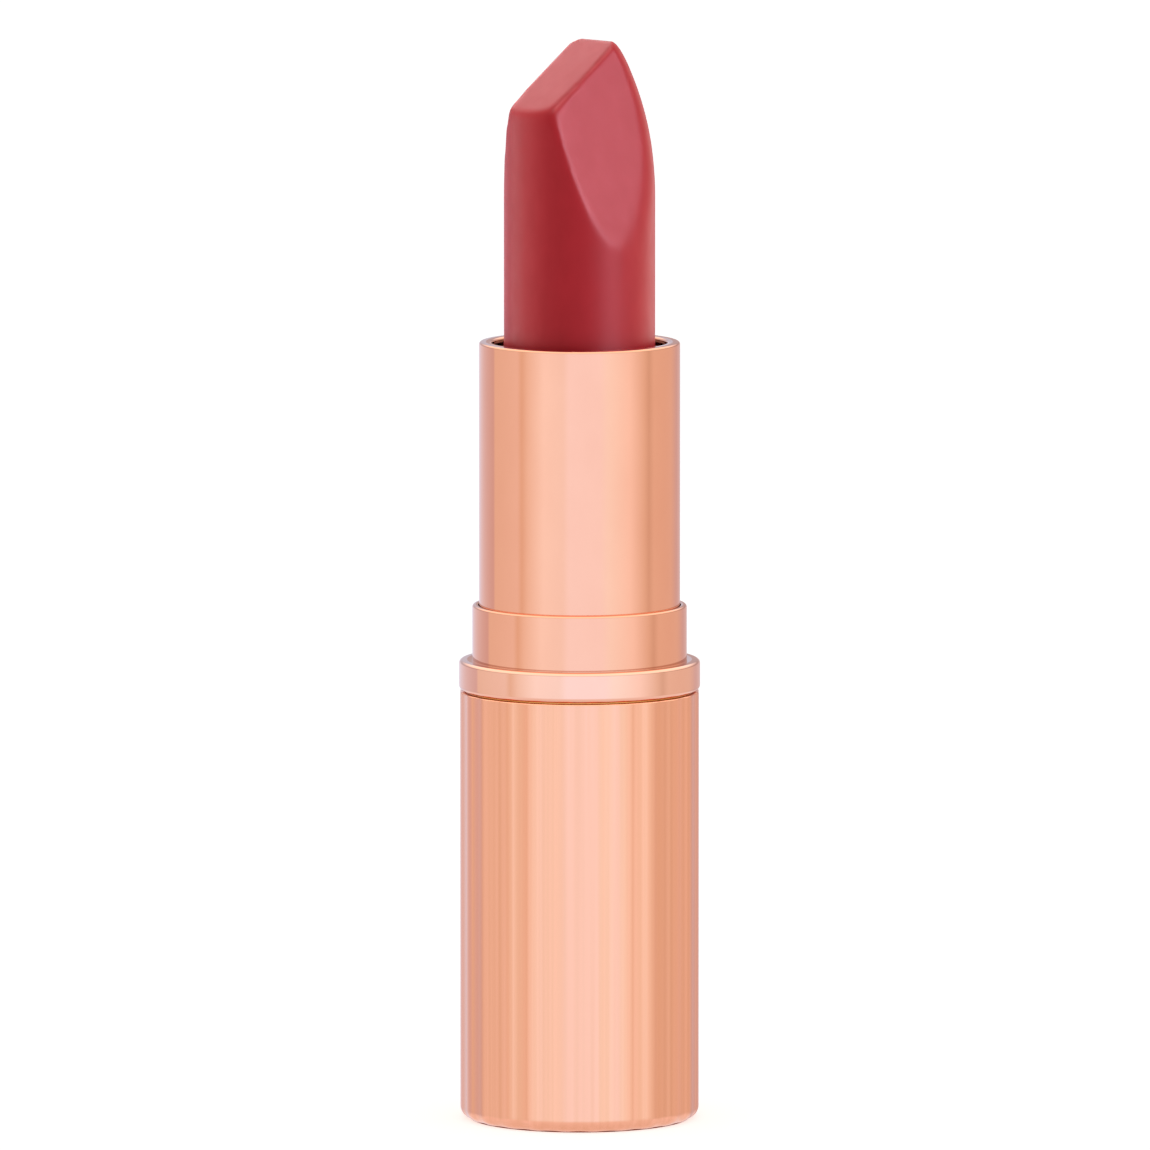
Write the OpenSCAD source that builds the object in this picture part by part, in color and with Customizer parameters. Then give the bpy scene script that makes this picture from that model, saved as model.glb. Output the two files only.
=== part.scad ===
// Twist-up lipstick case, open, with the stick fully raised.
// The fluted base carries a slotted tube. The bright tube above it turns on that slotted tube,
// and a two-start helix inside it drives the cup and the stick up and down the slots.
// Millimetres, +Z up, origin at the centre of the foot.

/* [Stick] */
// Diameter of the stick
stick_d = 12.7; // [10:0.1:16]
// How far the raised stick stands above the tube
stick_out = 25.4; // [18:0.1:32]
// How far the tip drops below the rim when it is wound down
stick_tuck = 0.6; // [0.2:0.1:3]
// Slope of the face of the tip
tip_slope = 35.1; // [20:0.1:50]
// Direction that the tip rises towards, seen from above
tip_turn = 43.5; // [0:0.5:359]
// Width of the flat strip down the face of the tip
tip_strip_w = 5.45; // [3:0.05:8]
// Lean of the two facets beside the strip
tip_facet_lean = 13.45; // [8:0.05:25]
// Height over which the back of the tip curves in
tip_back_h = 13.4; // [10:0.1:17]
// How far the back of the tip has curved in at the top
tip_back_in = 3.75; // [3:0.05:5]
// How far a small flat at the very tip cuts into the curved back
tip_flat_in = 0.55; // [0.1:0.05:1]
// Lean of that flat from upright, in degrees
tip_flat_lean = 31; // [20:1:45]

/* [Cup] */
// Height of the cup that holds the stick
cup_h = 9.5; // [7:0.1:14]
// Wall of the cup
cup_wall = 0.3; // [0.2:0.05:1]
// Floor of the cup
cup_floor = 1.5; // [1:0.1:3]
// Depth of the raised cup's mouth below the rim
cup_below_rim = 0.8; // [0.7:0.1:3]
// Diameter of each driving lug
lug_d = 2; // [1.4:0.1:3]
// Height of the lugs' axis above the underside of the cup
lug_up = 1.2; // [1.1:0.1:3]

/* [Slotted tube] */
// Wall of the slotted tube
slotted_wall = 0.45; // [0.35:0.05:1]
// Floor of the slotted tube
slotted_floor = 1; // [0.6:0.1:2]
// Height of the bead that keeps the turning tube on
bead_h = 0.6; // [0.4:0.1:1]
// How far the bead stands out
bead_out = 0.25; // [0.15:0.05:0.4]
// Height of the plug that locks the slotted tube into the base
plug_h = 6; // [4:0.1:9]
// Wall of the plug's skirt
plug_wall = 0.9; // [0.6:0.1:1.2]
// Number of keys round the plug
key_count = 4; // [2:1:8]
// Height of each key
key_h = 3; // [2:0.1:4]
// Width of each key
key_w = 1.6; // [1:0.1:3]
// How far each key stands out
key_out = 0.4; // [0.2:0.05:0.5]

/* [Helix sleeve] */
// Wall of the helix sleeve
helix_wall = 0.84; // [0.8:0.02:1.6]
// Wall left behind the helix
helix_back = 0.34; // [0.2:0.01:0.42]
// Turns of the tube from wound down to fully raised
turns = 2; // [1:0.25:3]

/* [Brake ring] */
// Section of the soft ring that gives the turn its drag
brake_section = 0.8; // [0.5:0.05:1]

/* [Tube shell] */
// Height of bright tube above the collar
tube_h = 22.15; // [16:0.1:30]
// Wall of the tube shell
tube_wall = 0.3; // [0.2:0.05:0.6]
// Radial width of the turned-in rim
rim_w = 1.08; // [0.9:0.01:1.2]
// Height of the turned-in rim
rim_h = 0.5; // [0.4:0.05:0.7]
// Rounding of the rim's outer edge
rim_round = 0.2; // [0.2:0.05:0.4]

/* [Collar and shoulder ring] */
// Height of collar above the shoulder ring, which is the cap's seat
collar_h = 4.65; // [3:0.05:12]
// Wall of the collar
collar_wall = 0.42; // [0.35:0.01:1]
// Depth of collar hidden below the top of the shoulder ring
collar_hidden = 4.9; // [3.5:0.1:6]
// Step at the foot of the collar, which rests on the shoulder ring
collar_step = 0.18; // [0.16:0.01:0.24]
// Rounding of the collar's top edge
collar_round = 0.2; // [0.1:0.05:0.3]
// Height of the shoulder ring
ring_h = 2.53; // [1.5:0.01:5]
// How far the shoulder ring stands out past the flutes
ring_proud = 0.05; // [0:0.01:0.5]
// Rounding of the shoulder ring's top edge
ring_round = 0.3; // [0.1:0.05:0.9]
// Rounding of the shoulder ring's bottom edge
ring_foot_round = 0.5; // [0.05:0.05:0.7]

/* [Base] */
// Height of the fluted shell
base_h = 36.15; // [24:0.05:60]
// Width of the ledge between the collar and the crests of the flutes
ledge_w = 1.07; // [0.9:0.01:3]
// Shadow gap between the shell and the shoulder ring
seam_gap = 0.12; // [0.1:0.01:0.5]
// Depth of that groove, inwards from the bottoms of the flutes
seam_depth = 0.2; // [0.1:0.05:0.3]
// Number of flutes
flute_count = 24; // [16:1:30]
// Depth of each flute
flute_depth = 0.17; // [0.1:0.01:0.22]
// Radius of each flute's hollow
flute_r = 4; // [2:0.1:5]
// Wall of the shell at the bottom of a flute
shell_wall = 0.43; // [0.3:0.01:0.5]
// Floor of the shell
shell_floor = 0.5; // [0.3:0.05:1]
// Rounding of the shell's top edge
shell_round = 0.12; // [0.05:0.01:0.15]
// Rounding of the foot
foot_round = 0.75; // [0.5:0.05:1.5]
// Depth of the recess under the foot
recess_depth = 0.5; // [0.3:0.05:1]
// Width of the standing rim round the recess
recess_rim = 0.8; // [0.6:0.1:2]
// Thickness of the blank label in the recess
label_t = 0.2; // [0.1:0.05:0.25]
// Diameter of the steel weight
weight_d = 14; // [10:0.1:15]
// Height of the steel weight
weight_h = 10; // [5:0.1:12]
// Thickness of the liner's web above the weight
web_t = 1.5; // [1:0.1:3]

/* [Fits] */
// Radial clearance of parts that turn on each other
run_gap = 0.06; // [0.03:0.01:0.09]
// Radial clearance of the cup in the slotted tube
slide_gap = 0.08; // [0.03:0.01:0.15]
// Radial clearance of parts that are pressed or bonded
bond_gap = 0.03; // [0.01:0.01:0.05]
// Radial gap that shows between the collar and the turning tube
collar_gap = 0.15; // [0.1:0.01:0.3]
// End clearance between parts that turn on each other
end_gap = 0.1; // [0.05:0.01:0.2]
// Clearance on each side of a lug in its slot and its helix
lug_gap = 0.1; // [0.05:0.01:0.2]

/* [Hidden] */
$fn = 96;

rose_gold = "#f5bda6";
wax = "#a84048";
moulding = "#4a332d";
steel = "#9a9ca0";
soft = "#2b2b2b";
paper = "#c9c6c2";

// Anything that cuts passes its target's faces by this much
over = 1;
// Directions seen from above: a flute faces the front, the keys stand between the axes, and each lug has
// its own slot and its own helix start
front = -90;
key_turn = 45;
lug_sides = [0, 180];

// Radii, from the stick outwards
stick_r = stick_d / 2;
cup_in_r = stick_r + bond_gap;
cup_r = cup_in_r + cup_wall;
slotted_in_r = cup_r + slide_gap;
slotted_r = slotted_in_r + slotted_wall;
helix_in_r = slotted_r + run_gap;
helix_r = helix_in_r + helix_wall;
tube_in_r = helix_r + bond_gap;
tube_r = tube_in_r + tube_wall;
bush_in_r = tube_r + run_gap;
collar_in_r = tube_r + collar_gap;
collar_r = collar_in_r + collar_wall;
skirt_r = collar_r - collar_step;
seat_r = skirt_r + bond_gap;
base_r = collar_r + ledge_w;
ring_r = base_r + ring_proud;
neck_r = base_r - flute_depth - seam_depth;
shell_in_r = base_r - flute_depth - shell_wall;
liner_r = shell_in_r - bond_gap;
plug_r = tube_r;
socket_r = plug_r + bond_gap;
recess_r = base_r - foot_round - recess_rim;
brake_r = (slotted_r + plug_r) / 2;

// Heights, from the foot upwards
ring_z = base_h + seam_gap;
ring_top = ring_z + ring_h;
collar_top = ring_top + collar_h;
rim_z = collar_top + tube_h;
tip_z = rim_z + stick_out;
travel = stick_out + stick_tuck;
cup_top = rim_z - cup_below_rim;
cup_z = cup_top - cup_h;
lug_z = cup_z + lug_up;
slotted_floor_top = cup_z - travel - end_gap;
plug_top = slotted_floor_top - slotted_floor;
plug_z = plug_top - plug_h;
brake_z = plug_top + end_gap / 2 - brake_section / 2;
sleeve_z = plug_top + end_gap;
slotted_top = rim_z - rim_h - 2 * end_gap;
sleeve_top = slotted_top - bead_h - end_gap;
collar_z = ring_top - collar_hidden;
shell_floor_top = recess_depth + shell_floor;
liner_z = shell_floor_top + bond_gap;
web_z = liner_z + weight_h + 2 * bond_gap;

// Helix: its pitch, the slot it follows and the steps that it is cut in
pitch = travel / turns;
slot_w = lug_d + 2 * lug_gap;
lead_angle = atan2(pitch, 360 * helix_in_r * PI / 180);
groove_h = slot_w / cos(lead_angle);
groove_r = helix_r - helix_back;
groove_step = 15;
groove_over = asin(slot_w / 2 / helix_in_r) + groove_step / 3;
lug_corner_r = groove_r * cos(groove_step / 2) - lug_gap / 2;
lug_tip_r = sqrt(lug_corner_r * lug_corner_r - lug_d * lug_d / 4);
lug_root = cup_wall / 2;

// Tip of the stick: the bent tube that shapes its back starts a little outside the stick, so that the
// two surfaces cross cleanly, and the strip's plane is given by its height on the axis
tip_skin = 0.05;
tip_tube_r = stick_r + tip_skin;
tip_drop = tip_back_in + tip_skin;
tip_bend_r = (tip_back_h * tip_back_h + tip_drop * tip_drop) / (2 * tip_drop) - tip_tube_r;
tip_edge = stick_r - tip_back_in - tip_flat_in;
tip_plane_z = tip_z - tip_edge * tan(tip_slope);
tip_bend_z = tip_z - tip_back_h;
tip_sweep = 60;
tip_block = 4 * stick_d;

// Straight round tube between two heights
module pipe(r_out, r_in, z0, z1) {
    difference() {
        translate([0, 0, z0]) cylinder(r = r_out, h = z1 - z0);
        translate([0, 0, z0 - over]) cylinder(r = r_in, h = z1 - z0 + 2 * over);
    }
}

// Half outline of a disc with rounded outer edges, at the top and, where it is given, at the bottom
module rounded_outline(r, h, round_top, round_bottom = 0) {
    difference() {
        square([r, h]);
        translate([r - round_top, h - round_top]) square([round_top + over, round_top + over]);
        translate([r - round_bottom, round_bottom - over]) square([round_bottom + over, over]);
    }
    translate([r - round_top, h - round_top]) circle(r = round_top);
    if (round_bottom > 0)
        translate([r - round_bottom, round_bottom]) circle(r = round_bottom);
}

// Fluted shell, drawn in one piece with its floor, and recessed underneath for the label
module base_shell() {
    color(rose_gold)
    difference() {
        rotate_extrude() rounded_outline(base_r, base_h, shell_round, foot_round);
        translate([0, 0, shell_floor_top]) cylinder(r = shell_in_r, h = base_h);
        translate([0, 0, -over]) cylinder(r = recess_r, h = recess_depth + over);
        for (i = [0 : flute_count - 1])
            rotate([0, 0, front + i * 360 / flute_count])
                translate([base_r - flute_depth + flute_r, 0, -over])
                    cylinder(r = flute_r, h = base_h + 2 * over);
    }
}

// Moulded liner: pocket for the weight below, keyed socket for the plug and seat for the collar above
module base_liner() {
    color(moulding)
    difference() {
        translate([0, 0, liner_z]) cylinder(r = liner_r, h = base_h - liner_z);
        translate([0, 0, liner_z - over]) cylinder(r = weight_d / 2 + bond_gap, h = web_z - liner_z + over);
        translate([0, 0, web_z + web_t]) cylinder(r = plug_r - plug_wall, h = base_h);
        translate([0, 0, plug_z]) cylinder(r = socket_r, h = base_h);
        translate([0, 0, plug_top]) cylinder(r = seat_r, h = base_h);
        plug_keys(plug_z, base_h, socket_r + key_out, key_w + 2 * bond_gap);
    }
}

// Steel slug that gives the base its weight
module base_weight() {
    color(steel)
    translate([0, 0, liner_z]) cylinder(d = weight_d, h = weight_h);
}

// Blank disc under the foot
module bottom_label() {
    color(paper)
    translate([0, 0, recess_depth - label_t]) cylinder(r = recess_r - bond_gap, h = label_t);
}

// Bright ring between the flutes and the collar, on a short neck that leaves the groove under it
module shoulder_ring() {
    color(rose_gold)
    difference() {
        union() {
            translate([0, 0, ring_z])
                rotate_extrude() rounded_outline(ring_r, ring_h, ring_round, ring_foot_round);
            translate([0, 0, base_h + bond_gap]) cylinder(r = neck_r, h = seam_gap + ring_h / 2);
        }
        translate([0, 0, base_h - over]) cylinder(r = seat_r, h = seam_gap + ring_h + 2 * over);
    }
}

// Drawn collar that the cap pushes on to, stepped to rest on the shoulder ring, with its skirt inside it
module collar() {
    color(rose_gold)
    difference() {
        union() {
            translate([0, 0, ring_top])
                rotate_extrude() rounded_outline(collar_r, collar_h, collar_round);
            translate([0, 0, collar_z]) cylinder(r = skirt_r, h = collar_hidden + collar_h / 2);
        }
        translate([0, 0, collar_z - over]) cylinder(r = collar_in_r, h = collar_top);
    }
}

// Plain bush under the collar that the tube shell turns in
module guide_bush() {
    color(moulding) pipe(skirt_r, bush_in_r, plug_top, collar_z);
}

// Keys round the plug, also the notches that they sit in
module plug_keys(z0, h, reach, w) {
    for (i = [0 : key_count - 1])
        rotate([0, 0, key_turn + i * 360 / key_count])
            translate([plug_r - plug_wall / 2, -w / 2, z0]) cube([reach - plug_r + plug_wall / 2, w, h]);
}

// Slotted tube with its retaining bead and its plug
module slotted_tube() {
    color(moulding)
    difference() {
        union() {
            translate([0, 0, plug_z]) cylinder(r = plug_r, h = plug_h);
            plug_keys(plug_z, key_h, plug_r + key_out, key_w);
            translate([0, 0, plug_top]) cylinder(r = slotted_r, h = slotted_top - plug_top);
            translate([0, 0, slotted_top - bead_h]) cylinder(r = slotted_r + bead_out, h = bead_h);
        }
        translate([0, 0, slotted_floor_top]) cylinder(r = slotted_in_r, h = rim_z);
        translate([0, 0, plug_z - over]) cylinder(r = plug_r - plug_wall, h = plug_h - slotted_floor + over);
        pipe(brake_r + brake_section / 2, brake_r - brake_section / 2,
             brake_z - brake_section / 2, plug_top + over);
        for (side = lug_sides)
            rotate([0, 0, side]) lug_slot();
    }
}

// Upright slot that one lug runs in, round at both ends
module lug_slot() {
    low = lug_z - travel;
    reach = slotted_wall + over;
    for (z = [low, lug_z])
        translate([slotted_in_r - over / 2, 0, z]) rotate([0, 90, 0]) cylinder(d = slot_w, h = reach);
    translate([slotted_in_r - over / 2, -slot_w / 2, low]) cube([reach, slot_w, travel]);
}

// Soft ring in the plug's top face
module brake_ring() {
    color(soft)
    translate([0, 0, brake_z]) rotate_extrude() translate([brake_r, 0]) circle(d = brake_section - bond_gap);
}

// Bright tube with its rim turned in
module tube_shell() {
    color(rose_gold)
    difference() {
        translate([0, 0, sleeve_z])
            rotate_extrude() rounded_outline(tube_r, rim_z - sleeve_z, rim_round);
        translate([0, 0, sleeve_z - over]) cylinder(r = tube_in_r, h = rim_z - rim_h - sleeve_z + over);
        translate([0, 0, sleeve_z]) cylinder(r = tube_r - rim_w, h = rim_z);
    }
}

// Sleeve bonded inside the tube shell, with one helix for each lug
module helix_sleeve() {
    color(moulding)
    difference() {
        pipe(helix_r, helix_in_r, sleeve_z, sleeve_top);
        for (side = lug_sides)
            rotate([0, 0, side]) helix_cutter();
    }
}

// Corners of the helix's section at one angle, from the inner bottom corner round
function helix_section(a) = [
    for (corner = [[helix_in_r - over / 2, -1], [groove_r, -1], [groove_r, 1], [helix_in_r - over / 2, 1]])
        [corner[0] * cos(a), corner[0] * sin(a), lug_z + pitch * a / 360 + corner[1] * groove_h / 2]
];

// Solid that cuts one helix, long enough for the lug's whole travel
module helix_cutter() {
    first = -360 * turns - groove_over;
    count = ceil((groove_over - first) / groove_step);
    step = (groove_over - first) / count;
    points = [for (i = [0 : count]) each helix_section(first + i * step)];
    sides = [
        for (i = [0 : count - 1], j = [0 : 3])
            let (a = 4 * i + j, b = 4 * i + (j + 1) % 4)
            each [[a, b, a + 4], [b, b + 4, a + 4]]
    ];
    last = 4 * count;
    ends = [[2, 1, 0], [3, 2, 0], [last, last + 1, last + 2], [last, last + 2, last + 3]];
    polyhedron(points = points, faces = concat(sides, ends), convexity = 8);
}

// Cup that grips the stick, with a lug on each side
module stick_cup() {
    color(moulding)
    difference() {
        union() {
            translate([0, 0, cup_z]) cylinder(r = cup_r, h = cup_h);
            for (side = lug_sides)
                rotate([0, 0, side]) translate([cup_r - lug_root, 0, lug_z])
                    rotate([0, 90, 0]) cylinder(d = lug_d, h = lug_tip_r - cup_r + lug_root);
        }
        translate([0, 0, cup_z + cup_floor]) cylinder(r = cup_in_r, h = cup_h);
    }
}

// Stick of colour: round below, with a back that curves in and a slanted face of a strip and two facets
module stick() {
    color(wax)
    rotate([0, 0, tip_turn])
    difference() {
        intersection() {
            translate([0, 0, cup_z + cup_floor]) cylinder(r = stick_r, h = tip_z);
            union() {
                translate([0, 0, cup_z]) cylinder(r = stick_d, h = tip_bend_z - cup_z);
                translate([-tip_bend_r, 0, tip_bend_z]) rotate([90, 0, 0])
                    rotate_extrude(angle = tip_sweep) translate([tip_bend_r, 0]) circle(r = tip_tube_r);
            }
        }
        translate([tip_edge, 0, tip_z]) rotate([0, -tip_flat_lean, 0])
            translate([0, -tip_block / 2, -tip_block / 2]) cube(tip_block);
        translate([0, 0, tip_plane_z]) rotate([0, -tip_slope, 0]) {
            translate([-tip_block / 2, -tip_block / 2, 0]) cube(tip_block);
            for (side = [-1, 1])
                translate([0, side * tip_strip_w / 2, 0]) rotate([side * tip_facet_lean, 0, 0])
                    translate([-tip_block / 2, side > 0 ? 0 : -tip_block, -tip_block / 2]) cube(tip_block);
        }
    }
}

base_shell();
base_liner();
base_weight();
bottom_label();
shoulder_ring();
collar();
guide_bush();
slotted_tube();
brake_ring();
tube_shell();
helix_sleeve();
stick_cup();
stick();
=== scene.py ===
import math

import bmesh
import bpy
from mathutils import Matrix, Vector


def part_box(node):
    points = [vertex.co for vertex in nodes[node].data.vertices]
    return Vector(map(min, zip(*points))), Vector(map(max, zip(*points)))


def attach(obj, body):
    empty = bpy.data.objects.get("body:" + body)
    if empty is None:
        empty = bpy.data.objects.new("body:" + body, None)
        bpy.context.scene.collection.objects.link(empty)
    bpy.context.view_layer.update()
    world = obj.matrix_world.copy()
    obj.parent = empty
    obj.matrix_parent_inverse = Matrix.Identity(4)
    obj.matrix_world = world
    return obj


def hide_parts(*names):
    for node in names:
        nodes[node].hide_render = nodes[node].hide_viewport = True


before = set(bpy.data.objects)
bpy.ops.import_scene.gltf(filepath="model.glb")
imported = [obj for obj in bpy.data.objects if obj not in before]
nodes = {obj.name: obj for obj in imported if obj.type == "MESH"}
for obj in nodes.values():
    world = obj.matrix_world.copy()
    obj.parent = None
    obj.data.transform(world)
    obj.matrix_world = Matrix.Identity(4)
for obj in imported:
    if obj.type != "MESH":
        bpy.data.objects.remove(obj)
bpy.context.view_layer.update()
mm = 0.001
hair = 0.01                        # a step too small to see, in millimetres
mergeWithin = 0.001 * mm           # corners nearer than this become one
sharpAngle = math.radians(30)      # edges that turn more than this stay sharp
facingDown = -0.9                  # a face whose normal's height is less than this looks at the floor
print("frame loaded,", len(nodes), "CAD nodes")


# ---- small helpers

def linearColour(hexText):
    channels = [int(hexText[i:i + 2], 16) / 255 for i in (1, 3, 5)]
    return [c / 12.92 if c <= 0.04045 else ((c + 0.055) / 1.055) ** 2.4 for c in channels] + [1.0]


def addNode(tree, kind, settings=None, values=None, links=None):
    node = tree.nodes.new(kind)
    for name, value in (settings or {}).items():
        setattr(node, name, value)
    for name, value in (values or {}).items():
        node.inputs[name].default_value = value
    for name, socket in (links or {}).items():
        tree.links.new(socket, node.inputs[name])
    return node


def setStops(ramp, stops):
    # the ramp starts with two stops of its own
    elements = ramp.color_ramp.elements
    while len(elements) < len(stops):
        elements.new(0.5)
    for number, (place, colour) in enumerate(sorted(stops, key=lambda stop: stop[0])):
        elements[number].position = place
        elements[number].color = colour


def emptyHands():
    if bpy.context.mode != "OBJECT":
        bpy.ops.object.mode_set(mode="OBJECT")
    bpy.context.tool_settings.mesh_select_mode = (True, False, False)
    bpy.ops.object.select_all(action="DESELECT")


def pick(piece, test, kind="VERT"):
    # in edit mode, selects the vertices, edges or faces that pass the test and says how many
    bpy.context.tool_settings.mesh_select_mode = (kind == "VERT", kind == "EDGE", kind == "FACE")
    bpy.ops.mesh.select_all(action="DESELECT")
    work = bmesh.from_edit_mesh(piece.data)
    found = 0
    for item in {"VERT": work.verts, "EDGE": work.edges, "FACE": work.faces}[kind]:
        if test(item):
            item.select_set(True)
            found += 1
    work.select_flush_mode()
    bmesh.update_edit_mesh(piece.data)
    return found


def spoke(point):
    return math.hypot(point.x, point.y)


def ringTest(radius, height, slack=0.003):
    # a test for the vertices, or the edges between them, of one ring, in millimetres
    def onRing(point):
        atRadius = radius is None or abs(spoke(point) / mm - radius) < slack
        return atRadius and abs(point.z / mm - height) < slack

    def test(item):
        return all(onRing(v.co) for v in getattr(item, "verts", [item]))
    return test


def applyModifiers(piece):
    bpy.context.view_layer.objects.active = piece
    for modifier in list(piece.modifiers):
        bpy.ops.object.modifier_apply(modifier=modifier.name)


def turnPiece(name, stations, rounds=(), sides=192):
    # a ring is extruded and resized from station to station as on a lathe, then its corners are bevelled
    # a station is (radius, height) in millimetres, a round is (station number, width, segments)
    emptyHands()
    bpy.ops.mesh.primitive_circle_add(vertices=sides, radius=stations[0][0] * mm,
                                      location=(0, 0, stations[0][1] * mm))
    piece = bpy.context.object
    piece.name = piece.data.name = name
    bpy.ops.object.transform_apply(location=True, rotation=True, scale=True)
    bpy.ops.object.mode_set(mode="EDIT")
    bpy.ops.mesh.select_all(action="SELECT")
    path = list(stations) + [stations[0]]
    for (radius, height), (nextRadius, nextHeight) in zip(path, path[1:]):
        bpy.ops.mesh.extrude_region_move(
            TRANSFORM_OT_translate={"value": (0, 0, (nextHeight - height) * mm)})
        factor = nextRadius / radius
        bpy.ops.transform.resize(value=(factor, factor, 1), center_override=(0, 0, nextHeight * mm))
    bpy.ops.mesh.select_all(action="SELECT")
    bpy.ops.mesh.remove_doubles(threshold=mergeWithin)
    bpy.ops.mesh.select_all(action="SELECT")
    bpy.ops.mesh.normals_make_consistent(inside=False)
    for number, width, segments in rounds:
        pick(piece, ringTest(*stations[number]), "EDGE")
        bpy.ops.mesh.bevel(offset=width * mm, segments=segments, profile=0.5, affect="EDGES")
    bpy.ops.object.mode_set(mode="OBJECT")
    evenNormals(piece)
    return piece


def finishPiece(piece, material, body, replaced=None):
    piece.data.materials.clear()
    piece.data.materials.append(material)
    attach(piece, body)
    if replaced:
        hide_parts(replaced)
    print(piece.name, "made,", len(piece.data.polygons), "faces")


def assignSlot(piece, material, test):
    # a second material for the faces that pass the test
    piece.data.materials.append(material)
    bpy.ops.object.mode_set(mode="EDIT")
    pick(piece, test, "FACE")
    piece.active_material_index = 1
    bpy.ops.object.material_slot_assign()
    bpy.ops.object.mode_set(mode="OBJECT")


def evenNormals(piece):
    # the flat walls keep straight normals, and only the roundings beside them turn
    bpy.ops.object.shade_smooth_by_angle(angle=sharpAngle)
    even = piece.modifiers.new("evenNormals", "WEIGHTED_NORMAL")
    even.mode, even.keep_sharp = "FACE_AREA", True
    applyModifiers(piece)


# ---- sizes that come from the CAD nodes, in millimetres

def reach(node):
    # the largest radius of a node
    return max(spoke(v.co) for v in nodes[node].data.vertices) / mm


def heights(node):
    low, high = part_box(node)
    return low.z / mm, high.z / mm


def boreAt(node, height, slack=0.02):
    # the smallest radius of a node at one height
    return min(spoke(v.co) for v in nodes[node].data.vertices if abs(v.co.z / mm - height) < slack) / mm


# ---- materials

def newMaterial(name):
    material = bpy.data.materials.new(name)
    material.use_nodes = True
    tree = material.node_tree
    tree.nodes.clear()
    coords = addNode(tree, "ShaderNodeTexCoord").outputs["Object"]
    return material, tree, coords


def closeMaterial(tree, shader):
    addNode(tree, "ShaderNodeOutputMaterial", links={"Surface": shader.outputs["BSDF"]})


def mapped(tree, coords, size):
    # coordinates stretched so that one unit is this many millimetres along x, y and z
    return addNode(tree, "ShaderNodeMapping", values={"Scale": [1 / (s * mm) for s in size]},
                   links={"Vector": coords}).outputs["Vector"]


def noise(tree, vector, detail=2.0, rough=0.5):
    return addNode(tree, "ShaderNodeTexNoise", values={"Scale": 1.0, "Detail": detail, "Roughness": rough},
                   links={"Vector": vector}).outputs["Fac"]


def spread(tree, socket, low, high):
    # noise that runs from about 0.3 to 0.7 is spread over a range
    values = {"From Min": 0.3, "From Max": 0.7, "To Min": low, "To Max": high}
    return addNode(tree, "ShaderNodeMapRange", values=values, links={"Value": socket}).outputs["Result"]


# anodised aluminium, deep drawn and dyed rose gold: the upper parts are polished to a mirror with faint
# drawing lines, the fluted shell keeps the satin lines that its dies left along the flutes
# real lines are nearer 0.01 mm apart, and these are drawn coarser so that they show
polished = {
    "dye": "#edaa8b", "dyeDeep": "#eba788", "polish": 0.04, "polishWorn": 0.07,
    "lineWidth": 0.05, "lineLength": 8.0, "streakWidth": 3.0, "streakLength": 6.0,
    "lineDepth": 0.0003, "lineStrength": 0.25,
}
satin = {
    "dye": "#f7b191", "dyeDeep": "#eea985", "polish": 0.17, "polishWorn": 0.25,
    "lineWidth": 0.12, "lineLength": 90.0, "streakWidth": 0.55, "streakLength": 120.0,
    "lineDepth": 0.0012, "lineStrength": 0.25,
}


# the ring is dyed paler than the drawn parts; its neck is unpolished, and its deeper gold is painted shade in
# the groove; the collar's bore is unpolished, and its duller gold is painted shade in the gap under the lip
palePolished = dict(polished, dye="#f0b69c", dyeDeep="#efb399")
grooveShadeFinish = dict(satin, dye="#d98a4a", dyeDeep="#cf7f40")
boreShadeFinish = dict(satin, dye="#b08a5c", dyeDeep="#a67f50")


def makeAluminium(name, finish):
    material, tree, coords = newMaterial(name)
    lineSize = (finish["lineWidth"], finish["lineWidth"], finish["lineLength"])
    streakSize = (finish["streakWidth"], finish["streakWidth"], finish["streakLength"])
    lines = noise(tree, mapped(tree, coords, lineSize), 3.0)
    cloud = noise(tree, mapped(tree, coords, streakSize), 3.0)
    tint = addNode(tree, "ShaderNodeMix", {"data_type": "RGBA"},
                   {"A": linearColour(finish["dye"]), "B": linearColour(finish["dyeDeep"])},
                   {"Factor": spread(tree, cloud, 0, 1)})
    both = addNode(tree, "ShaderNodeMath", {"operation": "ADD"}, links={0: lines, 1: cloud})
    half = addNode(tree, "ShaderNodeMath", {"operation": "MULTIPLY"}, {1: 0.5}, {0: both.outputs[0]})
    bump = addNode(tree, "ShaderNodeBump",
                   values={"Strength": finish["lineStrength"], "Distance": finish["lineDepth"] * mm},
                   links={"Height": lines})
    rough = spread(tree, half.outputs[0], finish["polish"], finish["polishWorn"])
    shader = addNode(tree, "ShaderNodeBsdfPrincipled", values={"Metallic": 1.0},
                     links={"Base Color": tint.outputs["Result"], "Normal": bump.outputs["Normal"],
                            "Roughness": rough})
    closeMaterial(tree, shader)
    return material


# lipstick wax, poured into a polished mould: deep red with a satin bloom and fine flow marks
wax = {
    "red": "#97131c", "redDeep": "#921019", "gloss": 0.38, "glossDull": 0.43, "ior": 1.44, "shine": 0.2,
    "flow": 1.2, "grain": 0.18, "grainDepth": 0.005, "grainStrength": 0.3,
    "bloom": 0.06, "bloomRough": 0.4, "bloomTint": "#ffd8d8",
}


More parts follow.
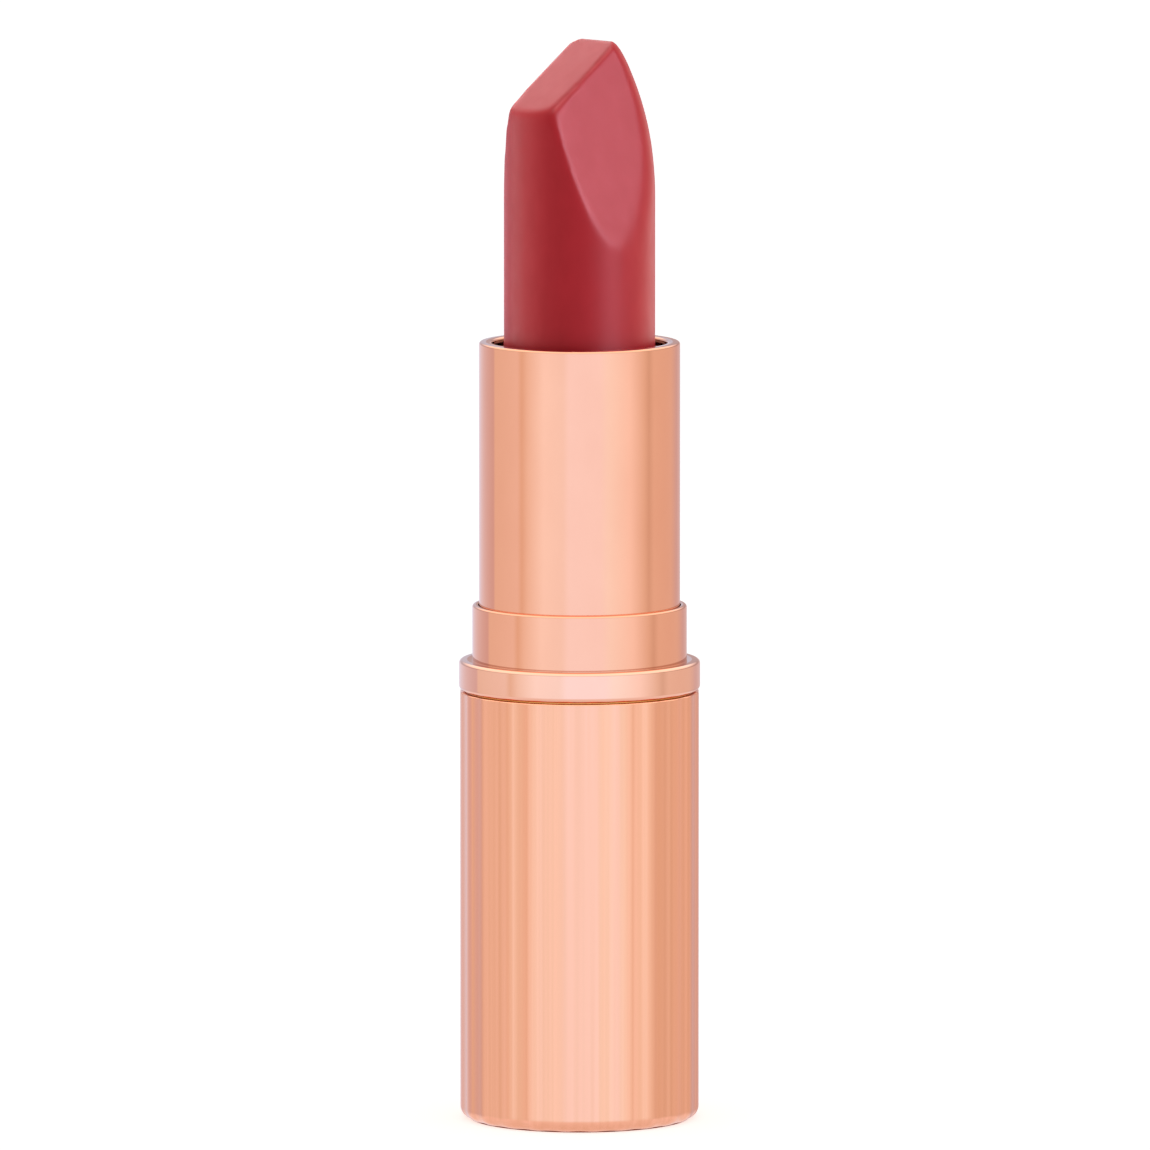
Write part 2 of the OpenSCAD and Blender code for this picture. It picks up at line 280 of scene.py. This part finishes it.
def makeWax():
    material, tree, coords = newMaterial("lipstick wax, moulded")
    flow = noise(tree, mapped(tree, coords, (wax["flow"], wax["flow"], wax["flow"] * 2)), 3.0)
    grain = noise(tree, mapped(tree, coords, (wax["grain"],) * 3), 2.0)
    tint = addNode(tree, "ShaderNodeMix", {"data_type": "RGBA"},
                   {"A": linearColour(wax["red"]), "B": linearColour(wax["redDeep"])},
                   {"Factor": spread(tree, flow, 0, 1)})
    bump = addNode(tree, "ShaderNodeBump",
                   values={"Strength": wax["grainStrength"], "Distance": wax["grainDepth"] * mm},
                   links={"Height": grain})
    shader = addNode(tree, "ShaderNodeBsdfPrincipled",
                     values={"IOR": wax["ior"], "Specular IOR Level": wax["shine"],
                             "Sheen Weight": wax["bloom"], "Sheen Roughness": wax["bloomRough"],
                             "Sheen Tint": linearColour(wax["bloomTint"])},
                     links={"Base Color": tint.outputs["Result"], "Normal": bump.outputs["Normal"],
                            "Roughness": spread(tree, flow, wax["gloss"], wax["glossDull"])})
    closeMaterial(tree, shader)
    return material


# a plain matt or glossy material with a cloud of colour, a grain and a bump, for the parts inside
insideFinishes = {
    # ABS, moulded from a lightly sparked tool: dark warm brown with a fine even grain
    "ABS, injection moulded": {
        "colours": ("#9a5c4e", "#8a4f43"), "rough": (0.38, 0.52), "metallic": 0.0, "ior": 1.54,
        "cloud": (2.0, 2.0, 4.0), "grain": (0.08, 0.08, 0.08), "depth": 0.004},
    # bar steel, turned and passivated: grey with fine rings left by the tool
    "steel, turned": {
        "colours": ("#a3a6ab", "#8f9297"), "rough": (0.22, 0.36), "metallic": 1.0, "ior": 1.5,
        "cloud": (1.5, 1.5, 1.5), "grain": (3.0, 3.0, 0.06), "depth": 0.003},
    # silicone rubber, moulded: near black, soft sheen
    "silicone rubber, moulded": {
        "colours": ("#2d2a2a", "#232020"), "rough": (0.5, 0.62), "metallic": 0.0, "ior": 1.41,
        "cloud": (0.5, 0.5, 0.5), "grain": (0.05, 0.05, 0.05), "depth": 0.002},
    # coated paper, die cut, left blank: off white with a fibre tooth
    "coated paper, die cut": {
        "colours": ("#d3cfc9", "#c7c2bb"), "rough": (0.45, 0.6), "metallic": 0.0, "ior": 1.5,
        "cloud": (1.2, 1.2, 1.2), "grain": (0.12, 0.04, 0.12), "depth": 0.004},
}


def makeInside(name):
    finish = insideFinishes[name]
    material, tree, coords = newMaterial(name)
    cloud = noise(tree, mapped(tree, coords, finish["cloud"]), 3.0)
    grain = noise(tree, mapped(tree, coords, finish["grain"]), 2.0)
    tint = addNode(tree, "ShaderNodeMix", {"data_type": "RGBA"},
                   {"A": linearColour(finish["colours"][0]), "B": linearColour(finish["colours"][1])},
                   {"Factor": spread(tree, cloud, 0, 1)})
    bump = addNode(tree, "ShaderNodeBump", values={"Strength": 0.4, "Distance": finish["depth"] * mm},
                   links={"Height": grain})
    shader = addNode(tree, "ShaderNodeBsdfPrincipled",
                     values={"Metallic": finish["metallic"], "IOR": finish["ior"]},
                     links={"Base Color": tint.outputs["Result"], "Normal": bump.outputs["Normal"],
                            "Roughness": spread(tree, grain, *finish["rough"])})
    closeMaterial(tree, shader)
    return material


roseGold = makeAluminium("anodised aluminium, drawn and polished", polished)
satinGold = makeAluminium("anodised aluminium, fluted, satin", satin)
paleGold = makeAluminium("anodised aluminium, turned and polished", palePolished)
# the groove's deeper gold is painted shade between the ring and the shell
grooveShadeGold = makeAluminium("anodised aluminium, unpolished groove with painted shade", grooveShadeFinish)
# the bore's duller gold is painted shade in the gap between the collar and the tube
boreShadeGold = makeAluminium("anodised aluminium, unpolished bore with painted shade", boreShadeFinish)
redWax = makeWax()
brownPlastic, turnedSteel, softRubber, blankPaper = [makeInside(name) for name in insideFinishes]
print("materials made")


# ---- tube shell: bright tube, its rim rolled inwards

tubeSizes = {"rimRound": 0.2, "lipRound": 0.2, "footRound": 0.06, "rimHeight": 0.5}
tubeR = reach("tube_shell")
tubeLow, tubeTop = heights("tube_shell")
tubeBore = boreAt("tube_shell", tubeLow)
rimBore = boreAt("tube_shell", tubeTop)
rimLow = tubeTop - tubeSizes["rimHeight"]
tubeShell = turnPiece(
    "tubeShell",
    [(tubeR, tubeLow), (tubeR, tubeTop), (rimBore, tubeTop), (rimBore, rimLow), (tubeBore, rimLow),
     (tubeBore, tubeLow)],
    [(0, tubeSizes["footRound"], 2), (5, tubeSizes["footRound"], 2), (3, tubeSizes["lipRound"], 5),
     (2, tubeSizes["lipRound"], 5), (1, tubeSizes["rimRound"], 8)])
finishPiece(tubeShell, roseGold, "sleeve", "tube_shell")


# ---- collar: short drawn cup that the cap grips, its skirt a step smaller, its lip drawn in to the tube

collarSizes = {
    "topRound": 0.2, "lipRound": 0.1, "footRound": 0.06, "lipIn": 0.08, "lipHeight": 0.35, "lipRun": 0.2,
    "skirtBelow": 1.0,     # the skirt is measured this far below the ring's top
}
collarR = reach("collar")
collarLow, collarTop = heights("collar")
shellR = reach("base_shell")
shellTop = heights("base_shell")[1]
ringFoot, ringTop = heights("shoulder_ring")
collarBore = boreAt("collar", collarTop)
skirtR = max(spoke(v.co) / mm for v in nodes["collar"].data.vertices
             if v.co.z / mm < ringTop - collarSizes["skirtBelow"])
lipBore = collarBore - collarSizes["lipIn"]
lipLow = collarTop - collarSizes["lipHeight"]
drawnCollar = turnPiece(
    "drawnCollar",
    [(skirtR, collarLow), (skirtR, ringTop), (collarR, ringTop), (collarR, collarTop), (lipBore, collarTop),
     (lipBore, lipLow), (collarBore, lipLow - collarSizes["lipRun"]), (collarBore, collarLow)],
    [(0, collarSizes["footRound"], 2), (7, collarSizes["footRound"], 2), (4, collarSizes["lipRound"], 4),
     (3, collarSizes["topRound"], 6)])
finishPiece(drawnCollar, roseGold, "base", "collar")


def inCollarBore(face):
    centre = face.calc_center_median() / mm
    underLip = centre.z < collarTop - 2 * hair and face.normal.z > facingDown
    return underLip and spoke(centre) < collarBore + 2 * hair


# the bore under the lip takes the duller gold, painted shade in the gap beside the tube
assignSlot(drawnCollar, boreShadeGold, inCollarBore)


# ---- shoulder ring: turned ring on a short neck, which leaves the groove between it and the shell

ringSizes = {"topRound": 0.3, "footRound": 0.5, "boreRound": 0.06, "grooveHeight": 0.12}
ringR = reach("shoulder_ring")
ringBore = boreAt("shoulder_ring", ringFoot)
neckR = max(spoke(v.co) / mm for v in nodes["shoulder_ring"].data.vertices
            if v.co.z / mm < ringFoot + 2 * hair)
ringLow = shellTop + ringSizes["grooveHeight"]
ringFootRound = min(ringSizes["footRound"], ringR - neckR - hair)
shoulderRing = turnPiece(
    "shoulderRing",
    [(neckR, ringFoot), (neckR, ringLow), (ringR, ringLow), (ringR, ringTop), (ringBore, ringTop),
     (ringBore, ringFoot)],
    [(2, ringFootRound, 10), (4, ringSizes["boreRound"], 3), (5, ringSizes["boreRound"], 3),
     (3, ringSizes["topRound"], 8)])
finishPiece(shoulderRing, paleGold, "base", "shoulder_ring")


def inGroove(face):
    return face.calc_center_median().z / mm < ringLow + 2 * hair and face.normal.z > facingDown


# the neck in the groove takes the deeper gold, painted shade between the ring and the shell
assignSlot(shoulderRing, grooveShadeGold, inGroove)


# ---- fluted shell: 24 shallow flutes drawn into a cup, a recess under the foot for the label

shellSizes = {
    "flutes": 24, "crestR": 10.09, "valleyIn": 0.25, "crestRound": 0.61, "valleyRound": 0.68,
    "footRound": 1.1, "footSteps": 10, "topRound": 0.12, "topSteps": 3, "recessDepth": 0.5,
    "linerGap": 0.03,
}
shellBore = boreAt("base_shell", shellTop)
recessR = boreAt("base_shell", 0)


def makeFlutedShell():
    sizes = shellSizes
    emptyHands()
    bpy.ops.mesh.primitive_circle_add(vertices=2 * sizes["flutes"], radius=sizes["crestR"] * mm)
    piece = bpy.context.object
    piece.name = piece.data.name = "flutedShell"
    bpy.ops.object.mode_set(mode="EDIT")
    pitch = 360 / sizes["flutes"]

    def isValley(v):
        turn = math.degrees(math.atan2(v.co.y, v.co.x)) + 90
        return abs((turn + pitch / 2) % pitch - pitch / 2) < 0.1

    # every second corner is drawn in, then both kinds are rounded to make a smooth wave
    pick(piece, isValley)
    factor = 1 - sizes["valleyIn"] / sizes["crestR"]
    bpy.ops.transform.resize(value=(factor, factor, 1), center_override=(0, 0, 0))
    pick(piece, lambda v: not isValley(v))
    bpy.ops.mesh.bevel(offset=sizes["crestRound"] * mm, segments=4, profile=0.5, affect="VERTICES")
    valleyR = sizes["crestR"] - sizes["valleyIn"]
    pick(piece, ringTest(valleyR, 0))
    bpy.ops.mesh.bevel(offset=sizes["valleyRound"] * mm, segments=6, profile=0.5, affect="VERTICES")
    widest = max(spoke(v.co) for v in bmesh.from_edit_mesh(piece.data).verts) / mm

    # the outline goes up the side in steps of (distance inside the crest, height)
    steps = []
    for i in range(sizes["footSteps"] + 1):
        turn = math.pi / 2 * i / sizes["footSteps"]
        steps.append((sizes["footRound"] * (1 - math.sin(turn)), sizes["footRound"] * (1 - math.cos(turn))))
    for i in range(sizes["topSteps"] + 1):
        turn = math.pi / 2 * i / sizes["topSteps"]
        steps.append((sizes["topRound"] * (1 - math.cos(turn)),
                      shellTop - sizes["topRound"] * (1 - math.sin(turn))))
    bpy.ops.mesh.select_all(action="SELECT")
    fit = (shellR - steps[0][0]) / widest
    bpy.ops.transform.resize(value=(fit, fit, 1), center_override=(0, 0, 0))
    for (inside, height), (nextInside, nextHeight) in zip(steps, steps[1:]):
        bpy.ops.mesh.extrude_region_move(
            TRANSFORM_OT_translate={"value": (0, 0, (nextHeight - height) * mm)})
        factor = (shellR - nextInside) / (shellR - inside)
        bpy.ops.transform.resize(value=(factor, factor, 1), center_override=(0, 0, nextHeight * mm))

    # the outline's end rings are drawn in to round bores, at the mouth and under the foot
    floorTop = heights("base_liner")[0] - sizes["linerGap"]
    mouths = ((shellTop, shellBore, floorTop), (0, recessR, sizes["recessDepth"]))
    for mouthHeight, mouthR, endHeight in mouths:
        pick(piece, lambda e: ringTest(None, mouthHeight)(e) and len(e.link_faces) == 1, "EDGE")
        bpy.ops.mesh.extrude_region_move(TRANSFORM_OT_translate={"value": (0, 0, 0)})
        bpy.ops.transform.tosphere(value=1, center_override=(0, 0, mouthHeight * mm))
        drawnR = max(spoke(v.co) for v in bmesh.from_edit_mesh(piece.data).verts if v.select) / mm
        factor = mouthR / drawnR
        bpy.ops.transform.resize(value=(factor, factor, 1), center_override=(0, 0, mouthHeight * mm))
        bpy.ops.mesh.extrude_region_move(
            TRANSFORM_OT_translate={"value": (0, 0, (endHeight - mouthHeight) * mm)})
        bpy.ops.mesh.edge_face_add()
    bpy.ops.mesh.select_all(action="SELECT")
    bpy.ops.mesh.remove_doubles(threshold=mergeWithin)
    bpy.ops.mesh.select_all(action="SELECT")
    bpy.ops.mesh.normals_make_consistent(inside=False)
    bpy.ops.object.mode_set(mode="OBJECT")
    evenNormals(piece)
    return piece


flutedShell = makeFlutedShell()
finishPiece(flutedShell, satinGold, "base", "base_shell")


# ---- stick: round, its tip cut by a sloping strip with a leaning facet on each side, its back curved in

stickSizes = {
    "slope": 35.1, "turn": 43.5, "stripWidth": 5.45, "lean": 13.45, "backHeight": 13.4, "backIn": 3.75,
    "flatIn": 0.55, "flatLean": 31, "backSteps": 24, "voxel": 0.15, "softening": 44,
    "frontReach": 1.8, "frontSoftening": 110, "frontFade": 3.0,
    "backReach": 0.9, "backSoftening": 300, "backFade": 1.5, "backStart": 0.7,
    "sides": 128, "over": 0.5,
}
stickR = reach("stick")
stickLow, stickTop = heights("stick")


def makeStick():
    sizes = stickSizes
    over = sizes["over"]
    turn = math.radians(sizes["turn"])
    back = Vector((math.cos(turn), math.sin(turn), 0))      # the way the strip rises
    side = Vector((math.sin(turn), -math.cos(turn), 0))

    emptyHands()
    bpy.ops.mesh.primitive_cylinder_add(vertices=sizes["sides"], radius=stickR * mm,
                                        depth=(stickTop + over - stickLow) * mm,
                                        location=(0, 0, (stickTop + over + stickLow) / 2 * mm))
    straight = bpy.context.object
    bpy.ops.object.transform_apply(location=True, rotation=True, scale=True)

    # the bent rod leans forwards with height, and what both rods hold is kept
    emptyHands()
    bendLow = stickTop - sizes["backHeight"]
    bpy.ops.mesh.primitive_circle_add(vertices=sizes["sides"], radius=(stickR + hair) * mm, fill_type="NGON",
                                      location=(0, 0, (stickLow - over) * mm))
    bent = bpy.context.object
    bent.name = bent.data.name = "waxStick"
    bpy.ops.object.transform_apply(location=True, rotation=True, scale=True)
    bpy.ops.object.mode_set(mode="EDIT")
    bpy.ops.mesh.select_all(action="SELECT")
    path = [(0, stickLow - over)]
    for i in range(sizes["backSteps"] + 3):
        rise = sizes["backHeight"] * i / sizes["backSteps"]
        path.append(((sizes["backIn"] + hair) * (rise / sizes["backHeight"]) ** 2, bendLow + rise))
    for (inward, height), (nextInward, nextHeight) in zip(path, path[1:]):
        shift = -back * (nextInward - inward) * mm
        bpy.ops.mesh.extrude_region_move(
            TRANSFORM_OT_translate={"value": (shift.x, shift.y, (nextHeight - height) * mm)})
    bpy.ops.mesh.select_all(action="SELECT")
    bpy.ops.mesh.normals_make_consistent(inside=False)
    bpy.ops.object.mode_set(mode="OBJECT")
    keep = bent.modifiers.new("keep", "BOOLEAN")
    keep.operation, keep.object, keep.solver = "INTERSECT", straight, "EXACT"
    applyModifiers(bent)
    bpy.data.objects.remove(straight)

    # strip, then the two facets, then the small flat behind the strip's edge
    slope = math.tan(math.radians(sizes["slope"]))
    lean = math.tan(math.radians(sizes["lean"]))
    edge = back * (stickR - sizes["backIn"] - sizes["flatIn"]) * mm + Vector((0, 0, stickTop * mm))
    stripNormal = Vector((-back.x * slope, -back.y * slope, 1)).normalized()
    cuts = [(edge, stripNormal)]
    for hand in (1, -1):
        corner = edge + side * hand * sizes["stripWidth"] / 2 * mm
        cuts.append((corner, (side * hand - back * slope * lean + Vector((0, 0, lean))).normalized()))
    flatLean = math.radians(sizes["flatLean"])
    cuts.append((edge, back * math.cos(flatLean) + Vector((0, 0, math.sin(flatLean)))))
    bpy.ops.object.mode_set(mode="EDIT")
    for point, normal in cuts:
        bpy.ops.mesh.select_all(action="SELECT")
        bpy.ops.mesh.bisect(plane_co=point, plane_no=normal, use_fill=True, clear_outer=True)
    bpy.ops.object.mode_set(mode="OBJECT")

    # an even mesh lets the creases be softened as the mould leaves them
    even = bent.modifiers.new("even", "REMESH")
    even.mode, even.voxel_size, even.adaptivity = "VOXEL", sizes["voxel"] * mm, 0
    applyModifiers(bent)
    # the strip's front edge and the facets' back edges are blended over a wider band, which fades out
    frontReach, backReach = sizes["frontReach"] * mm, sizes["backReach"] * mm
    front = bent.vertex_groups.new(name="frontEdge")
    rear = bent.vertex_groups.new(name="backEdges")
    for v in bent.data.vertices:
        along = v.co.dot(back)
        rise = max(v.co.z / mm - bendLow, 0)
        inward = sizes["backIn"] * (rise / sizes["backHeight"]) ** 2 * mm
        nearFront = math.hypot((v.co - edge).dot(stripNormal), stickR * mm - spoke(v.co))
        share = min(1 - nearFront / frontReach, -along / (sizes["frontFade"] * mm), 1)
        if share > 0:
            front.add([v.index], share, "REPLACE")
        underBack = stickR * mm - spoke(v.co + back * inward)
        nearBack = min(math.hypot((v.co - point).dot(normal), underBack) for point, normal in cuts[1:3])
        share = min(1 - nearBack / backReach, along / (sizes["backFade"] * mm) + sizes["backStart"], 1)
        if share > 0:
            rear.add([v.index], share, "REPLACE")
    passes = (("soften", sizes["softening"], ""), ("softenFront", sizes["frontSoftening"], front.name),
              ("softenBack", sizes["backSoftening"], rear.name))
    for name, turns, groupName in passes:
        soften = bent.modifiers.new(name, "SMOOTH")
        soften.factor, soften.iterations, soften.vertex_group = 0.5, turns, groupName
    applyModifiers(bent)
    bpy.ops.object.shade_smooth()
    return bent


waxStick = makeStick()
finishPiece(waxStick, redWax, "cup", "stick")


# ---- parts inside keep their CAD meshes

insideParts = {
    "base_liner": brownPlastic, "base_weight": turnedSteel, "bottom_label": blankPaper,
    "guide_bush": brownPlastic, "slotted_tube": brownPlastic, "brake_ring": softRubber,
    "helix_sleeve": brownPlastic, "stick_cup": brownPlastic,
}
for name, material in insideParts.items():
    for slot in nodes[name].material_slots:
        slot.material = material
print("inside parts finished")


# ---- studio: pale floor, pale tent and soft lights

studio = {
    "floorSize": 3.0, "floorColour": "#ffffff", "floorGlow": 0.52, "floorSink": 0.02, "paperRough": 0.9,
    "toothSize": 0.4, "toothDepth": 0.01, "toothStrength": 0.05,
    "shadeInside": 0.85, "shadeColour": "#8a4a34", "shadeGlow": 0.5, "shadeSides": 96, "lightDistance": 0.6,
    "cameraDistance": 1.5, "cameraRise": 6.65, "aim": (-0.378, 0, 45.9), "lens": 559.5,
    "sensor": 36, "clip": (0.1, 10), "tentGain": 2.3, "roomGlow": 0.55, "roomColour": "#ffffff",
}
# the tent's panels, each from one place to another in degrees to the right of the camera, with what it
# gives at both places
tentPanels = {
    "backLeft": ((-150, "#b3b5c3"), (-117, "#aba5b0")),
    "left": ((-114, "#bab7b5"), (-76, "#c0c1c5")),
    "leftSeam": ((-70, "#b9b3ac"), (-62, "#c2c5c7")),
    "leftDiffuser": ((-42, "#cdddec"), (-19, "#cadaea")),
    "frontCard": ((-12, "#cde1fa"), (24, "#cde0f8")),
    "rightDiffuser": ((33, "#cde2f2"), (60, "#ccd4dd")),
    "rightSeam": ((80, "#bab7b3"), (87, "#afa8a2")),
    "right": ((95, "#bab5b1"), (130, "#b6aca7")),
    "backRight": ((147, "#a79a9e"), (158, "#a8999b")),
}
# the tent's plain floor and lid, by the ray's height, and how much of its panels shows at a height
tentPlain = [(-1.0, "#aca8aa"), (-0.3, "#b5b5bb"), (0.3, "#cac8c8"), (0.6, "#dcdad4"), (1.0, "#dcdad4")]
tentWall = [(-0.42, 0.0), (-0.26, 0.79), (-0.15, 0.79), (-0.12, 0.84), (0.04, 0.84), (0.09, 0.6), (0.2, 0.6),
            (0.4, 0.0)]

# soft boxes for the wax: name, degrees right of the camera, degrees up, diameter in metres, watts, kind and
# colour
waxLights = [
    ("rightFill", 75, 15, 0.35, 2.1, "fill", "#ffffff"),
    ("topFill", -30, 60, 0.35, 1.2, "fill", "#ffffff"),
    ("leftFill", -110, 8, 0.35, 1.2, "fill", "#ffffff"),
    ("backFill", 200, 60, 0.35, 2.4, "fill", "#ffffff"),
    ("facetSheen", 50, 20, 0.40, 7.1, "sheen", "#ecebff"),
    ("leftSheen", -92, -3, 0.8, 3.9, "sheen", "#ffffff"),
    ("stripSheen", -146, 43, 0.5, 1.5, "sheen", "#ffffff"),
    ("ridgeSheen", 28, 74, 0.4, 3.0, "sheen", "#ffffff"),
    ("rightSheen", 117, -3, 0.8, 2.8, "sheen", "#fff2ea"),
]


def makeFloor():
    emptyHands()
    bpy.ops.mesh.primitive_plane_add(size=studio["floorSize"], location=(0, 0, 0))
    floor = bpy.context.object
    floor.name = floor.data.name = "floor"
    bpy.ops.object.transform_apply(location=True, rotation=True, scale=True)
    # a little lower than the foot, which stands clear of it
    bpy.ops.transform.translate(value=(0, 0, -studio["floorSink"] * mm))
    bpy.ops.object.transform_apply(location=True, rotation=True, scale=True)
    floor.visible_glossy = False
    material, tree, coords = newMaterial("paper backdrop, matt")
    tooth = noise(tree, mapped(tree, coords, (studio["toothSize"],) * 3), 2.0)
    bump = addNode(tree, "ShaderNodeBump",
                   values={"Strength": studio["toothStrength"], "Distance": studio["toothDepth"] * mm},
                   links={"Height": tooth})
    shader = addNode(tree, "ShaderNodeBsdfPrincipled",
                     values={"Base Color": linearColour(studio["floorColour"]),
                             "Roughness": studio["paperRough"], "Specular IOR Level": 0.0,
                             "Emission Color": linearColour(studio["floorColour"]),
                             "Emission Strength": studio["floorGlow"]},
                     links={"Normal": bump.outputs["Normal"]})
    closeMaterial(tree, shader)
    floor.data.materials.append(material)


def makeFootShade():
    # the shade between the foot's rounding and the floor, which the polished foot mirrors
    emptyHands()
    bpy.ops.mesh.primitive_circle_add(vertices=studio["shadeSides"],
                                      radius=(shellR - studio["shadeInside"]) * mm, fill_type="NGON",
                                      location=(0, 0, -studio["floorSink"] / 2 * mm))
    shade = bpy.context.object
    shade.name = shade.data.name = "footShade"
    bpy.ops.object.transform_apply(location=True, rotation=True, scale=True)
    material, tree, coords = newMaterial("paper backdrop in shade")
    shader = addNode(tree, "ShaderNodeBsdfPrincipled",
                     values={"Base Color": linearColour(studio["shadeColour"]),
                             "Roughness": studio["paperRough"], "Specular IOR Level": 0.0,
                             "Emission Color": linearColour(studio["shadeColour"]),
                             "Emission Strength": studio["shadeGlow"]})
    closeMaterial(tree, shader)
    shade.data.materials.append(material)


def makeTent():
    world = bpy.data.worlds.new("tent")
    bpy.context.scene.world = world
    world.use_nodes = True
    tree = world.node_tree
    tree.nodes.clear()
    ray = addNode(tree, "ShaderNodeTexCoord").outputs["Generated"]
    parts = addNode(tree, "ShaderNodeSeparateXYZ", links={"Vector": ray})
    toFront = addNode(tree, "ShaderNodeMath", {"operation": "MULTIPLY"}, {1: -1.0}, {0: parts.outputs["Y"]})
    around = addNode(tree, "ShaderNodeMath", {"operation": "ARCTAN2"},
                     links={0: parts.outputs["X"], 1: toFront.outputs[0]})
    place = addNode(tree, "ShaderNodeMapRange",
                    values={"From Min": -math.pi, "From Max": math.pi, "To Min": 0.0, "To Max": 1.0},
                    links={"Value": around.outputs[0]})
    panels = addNode(tree, "ShaderNodeValToRGB", links={"Fac": place.outputs["Result"]})
    setStops(panels, [((turn + 180) / 360, linearColour(colour))
                      for panel in tentPanels.values() for turn, colour in panel])
    rise = addNode(tree, "ShaderNodeMapRange", values={"From Min": -1.0, "From Max": 1.0},
                   links={"Value": parts.outputs["Z"]})
    plain = addNode(tree, "ShaderNodeValToRGB", links={"Fac": rise.outputs["Result"]})
    setStops(plain, [((height + 1) / 2, linearColour(colour)) for height, colour in tentPlain])
    wall = addNode(tree, "ShaderNodeValToRGB", links={"Fac": rise.outputs["Result"]})
    setStops(wall, [((height + 1) / 2, [share] * 3 + [1]) for height, share in tentWall])
    inWall = addNode(tree, "ShaderNodeMix", {"data_type": "RGBA", "blend_type": "MULTIPLY"}, {"Factor": 1.0},
                     {"A": panels.outputs["Color"], "B": wall.outputs["Color"]})
    bounds = addNode(tree, "ShaderNodeValToRGB", links={"Fac": rise.outputs["Result"]})
    setStops(bounds, [((height + 1) / 2, [float(share == 0)] * 3 + [1]) for height, share in tentWall])
    inPlain = addNode(tree, "ShaderNodeMix", {"data_type": "RGBA", "blend_type": "MULTIPLY"}, {"Factor": 1.0},
                      {"A": plain.outputs["Color"], "B": bounds.outputs["Color"]})
    shaded = addNode(tree, "ShaderNodeMix", {"data_type": "RGBA", "blend_type": "ADD"}, {"Factor": 1.0},
                     {"A": inWall.outputs["Result"], "B": inPlain.outputs["Result"]})
    tent = addNode(tree, "ShaderNodeBackground", values={"Strength": studio["tentGain"]},
                   links={"Color": shaded.outputs["Result"]})
    room = addNode(tree, "ShaderNodeBackground",
                   values={"Color": linearColour(studio["roomColour"]), "Strength": studio["roomGlow"]})
    backdrop = addNode(tree, "ShaderNodeBackground",
                       values={"Color": linearColour(studio["floorColour"]), "Strength": 1.0})
    path = addNode(tree, "ShaderNodeLightPath")
    lit = addNode(tree, "ShaderNodeMixShader", links={0: path.outputs["Is Glossy Ray"], 1: room.outputs[0],
                                                      2: tent.outputs[0]})
    seen = addNode(tree, "ShaderNodeMixShader", links={0: path.outputs["Is Camera Ray"], 1: lit.outputs[0],
                                                       2: backdrop.outputs[0]})
    addNode(tree, "ShaderNodeOutputWorld", links={"Surface": seen.outputs[0]})


def makeLight(name, turn, rise, size, power, kind, colour):
    # a round soft box for the stick only, its place given in degrees to the right of the camera and upwards
    # a fill gives colour and no sheen, a sheen gives no colour
    emptyHands()
    turn, rise = math.radians(turn), math.radians(rise)
    aim = Vector(studio["aim"]) * mm
    way = Vector((math.sin(turn) * math.cos(rise), -math.cos(turn) * math.cos(rise), math.sin(rise)))
    bpy.ops.object.light_add(type="AREA", location=aim + way * studio["lightDistance"])
    light = bpy.context.object
    light.name = light.data.name = name
    light.rotation_euler = (-way).to_track_quat("-Z", "Y").to_euler()
    light.data.shape, light.data.size = "DISK", size
    light.data.energy, light.data.color = power, linearColour(colour)[:3]
    light.visible_glossy, light.visible_diffuse = kind == "sheen", kind == "fill"
    light.light_linking.receiver_collection = waxOnly
    light.light_linking.blocker_collection = waxOnly


def makeCamera():
    rise = math.radians(studio["cameraRise"])
    aim = Vector(studio["aim"]) * mm
    away = Vector((0, -math.cos(rise), math.sin(rise)))
    bpy.ops.object.camera_add(location=aim + away * studio["cameraDistance"])
    camera = bpy.context.object
    camera.name = camera.data.name = "camera"
    camera.rotation_euler = (-away).to_track_quat("-Z", "Y").to_euler()
    camera.data.lens, camera.data.sensor_width = studio["lens"], studio["sensor"]
    camera.data.clip_start, camera.data.clip_end = studio["clip"]
    bpy.context.scene.camera = camera


makeFloor()
makeFootShade()
makeTent()
waxOnly = bpy.data.collections.new("waxOnly")
waxOnly.objects.link(waxStick)
for softbox in waxLights:
    makeLight(*softbox)
makeCamera()
scene = bpy.context.scene
scene.view_settings.view_transform = "Standard"
print("studio made")
